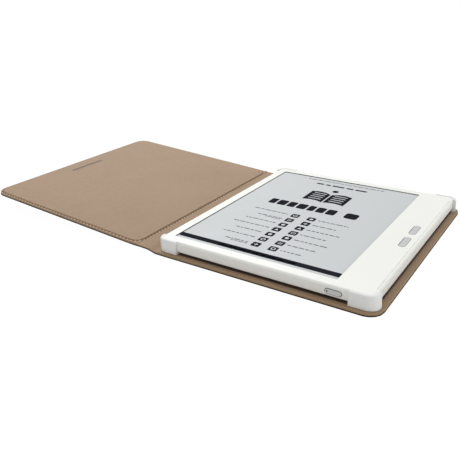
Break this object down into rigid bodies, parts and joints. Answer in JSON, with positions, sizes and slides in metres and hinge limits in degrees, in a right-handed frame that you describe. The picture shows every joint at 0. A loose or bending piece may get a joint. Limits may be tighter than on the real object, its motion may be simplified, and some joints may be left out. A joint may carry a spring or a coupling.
{
  "type": "e-reader",
  "caption": "Seven-inch electronic paper reader with a wide grip and two page keys, held by corner clips in a folio cover that lies open flat.",
  "frame": {"origin": "on the cover's resting face, under the middle of the reader", "axes": "+X towards the page keys, away from the flap; +Y up the page; +Z out of the screen"},
  "size_m": [0.2974, 0.164, 0.0136],
  "materials": {
    "outer_leather": "fine-grained dark leather, matt",
    "inner_leather": "smooth tan leather, matt",
    "grey_board": "pressed grey board",
    "foam": "soft foam sheet",
    "magnet": "nickel-plated",
    "tape": "double-sided tape",
    "cradle_plastic": "satin white moulded plastic",
    "shell_plastic": "fine satin white moulded plastic",
    "frame_plastic": "fine satin white moulded plastic",
    "gasket": "black closed-cell foam",
    "touch_glass": "matt anti-glare sheet",
    "light_guide": "clear acrylic",
    "light_bar": "row of small lights on a strip",
    "display": "paper-like display",
    "ribbon": "amber flexible circuit",
    "middle_metal": "die-cast, bead-blasted",
    "steel": "plated steel",
    "circuit_board": "green circuit board",
    "shield_metal": "tinned steel",
    "chip": "black moulded package",
    "battery_foil": "aluminium-laminate pouch",
    "wire": "insulated wires",
    "key_plastic": "silver-grey moulded plastic",
    "power_plastic": "pale grey moulded plastic",
    "lens": "smoked light pipe",
    "tray_plastic": "white moulded plastic"
  },
  "bodies": {
    "reader": {"back_outer_leather": "outer_leather", "back_board": "grey_board", "back_lining": "inner_leather", "back_fold_leather": "outer_leather", "back_fold_lining": "inner_leather", "cradle_tape": "tape", "corner_cradle": "cradle_plastic", "back_shell": "shell_plastic", "front_frame": "frame_plastic", "screen_gasket": "gasket", "touch_sheet": "touch_glass", "light_guide": "light_guide", "light_bar": "light_bar", "display_panel": "display", "display_ribbon": "ribbon", "middle_frame": "middle_metal", "frame_screws": "steel", "main_board": "circuit_board", "board_shield": "shield_metal", "magnet_sensor": "chip", "battery": "battery_foil", "battery_tape": "tape", "battery_leads": "wire", "key_board": "circuit_board", "key_domes": "steel", "power_switch": "steel", "charging_socket": "steel", "microphone": "chip", "card_socket": "shield_metal", "speaker_left": "chip", "speaker_right": "chip", "radio_antenna": "ribbon"},
    "spine": {"spine_outer_leather": "outer_leather", "spine_stiffener": "grey_board", "spine_lining": "inner_leather", "flap_fold_leather": "outer_leather", "flap_fold_lining": "inner_leather"},
    "flap": {"flap_outer_leather": "outer_leather", "flap_board": "grey_board", "flap_foam": "foam", "flap_lining": "inner_leather", "flap_magnet": "magnet"},
    "upper_key": {"page_key_upper": "key_plastic"},
    "lower_key": {"page_key_lower": "key_plastic"},
    "power_key": {"power_button": "power_plastic", "power_light_lens": "lens"},
    "tray": {"card_tray": "tray_plastic", "memory_card": "chip"}
  },
  "joints": [
    {"name": "fold_back", "type": "hinge", "parent": "reader", "child": "spine", "pos_m": [-0.07215, 0, 0.00025], "axis": [0, 1, 0], "range_deg": [-4, 82.2], "deforming": ["back_fold_leather", "back_fold_lining"]},
    {"name": "fold_flap", "type": "hinge", "parent": "spine", "child": "flap", "pos_m": [-0.08449, 0, 0.00194], "axis": [0, 1, 0], "range_deg": [0, 93.8], "deforming": ["flap_fold_leather", "flap_fold_lining"]},
    {"name": "upper_key_press", "type": "slide", "parent": "reader", "child": "upper_key", "axis": [0, 0, -1], "range_m": [0, 0.00025], "stiffness_N_per_m": 2000},
    {"name": "lower_key_press", "type": "slide", "parent": "reader", "child": "lower_key", "axis": [0, 0, -1], "range_m": [0, 0.00025], "stiffness_N_per_m": 2000},
    {"name": "power_press", "type": "slide", "parent": "reader", "child": "power_key", "axis": [0, 1, 0], "range_m": [0, 0.0004], "stiffness_N_per_m": 2000},
    {"name": "tray_slide", "type": "slide", "parent": "reader", "child": "tray", "axis": [0, 1, 0], "range_m": [0, 0.02]}
  ]
}
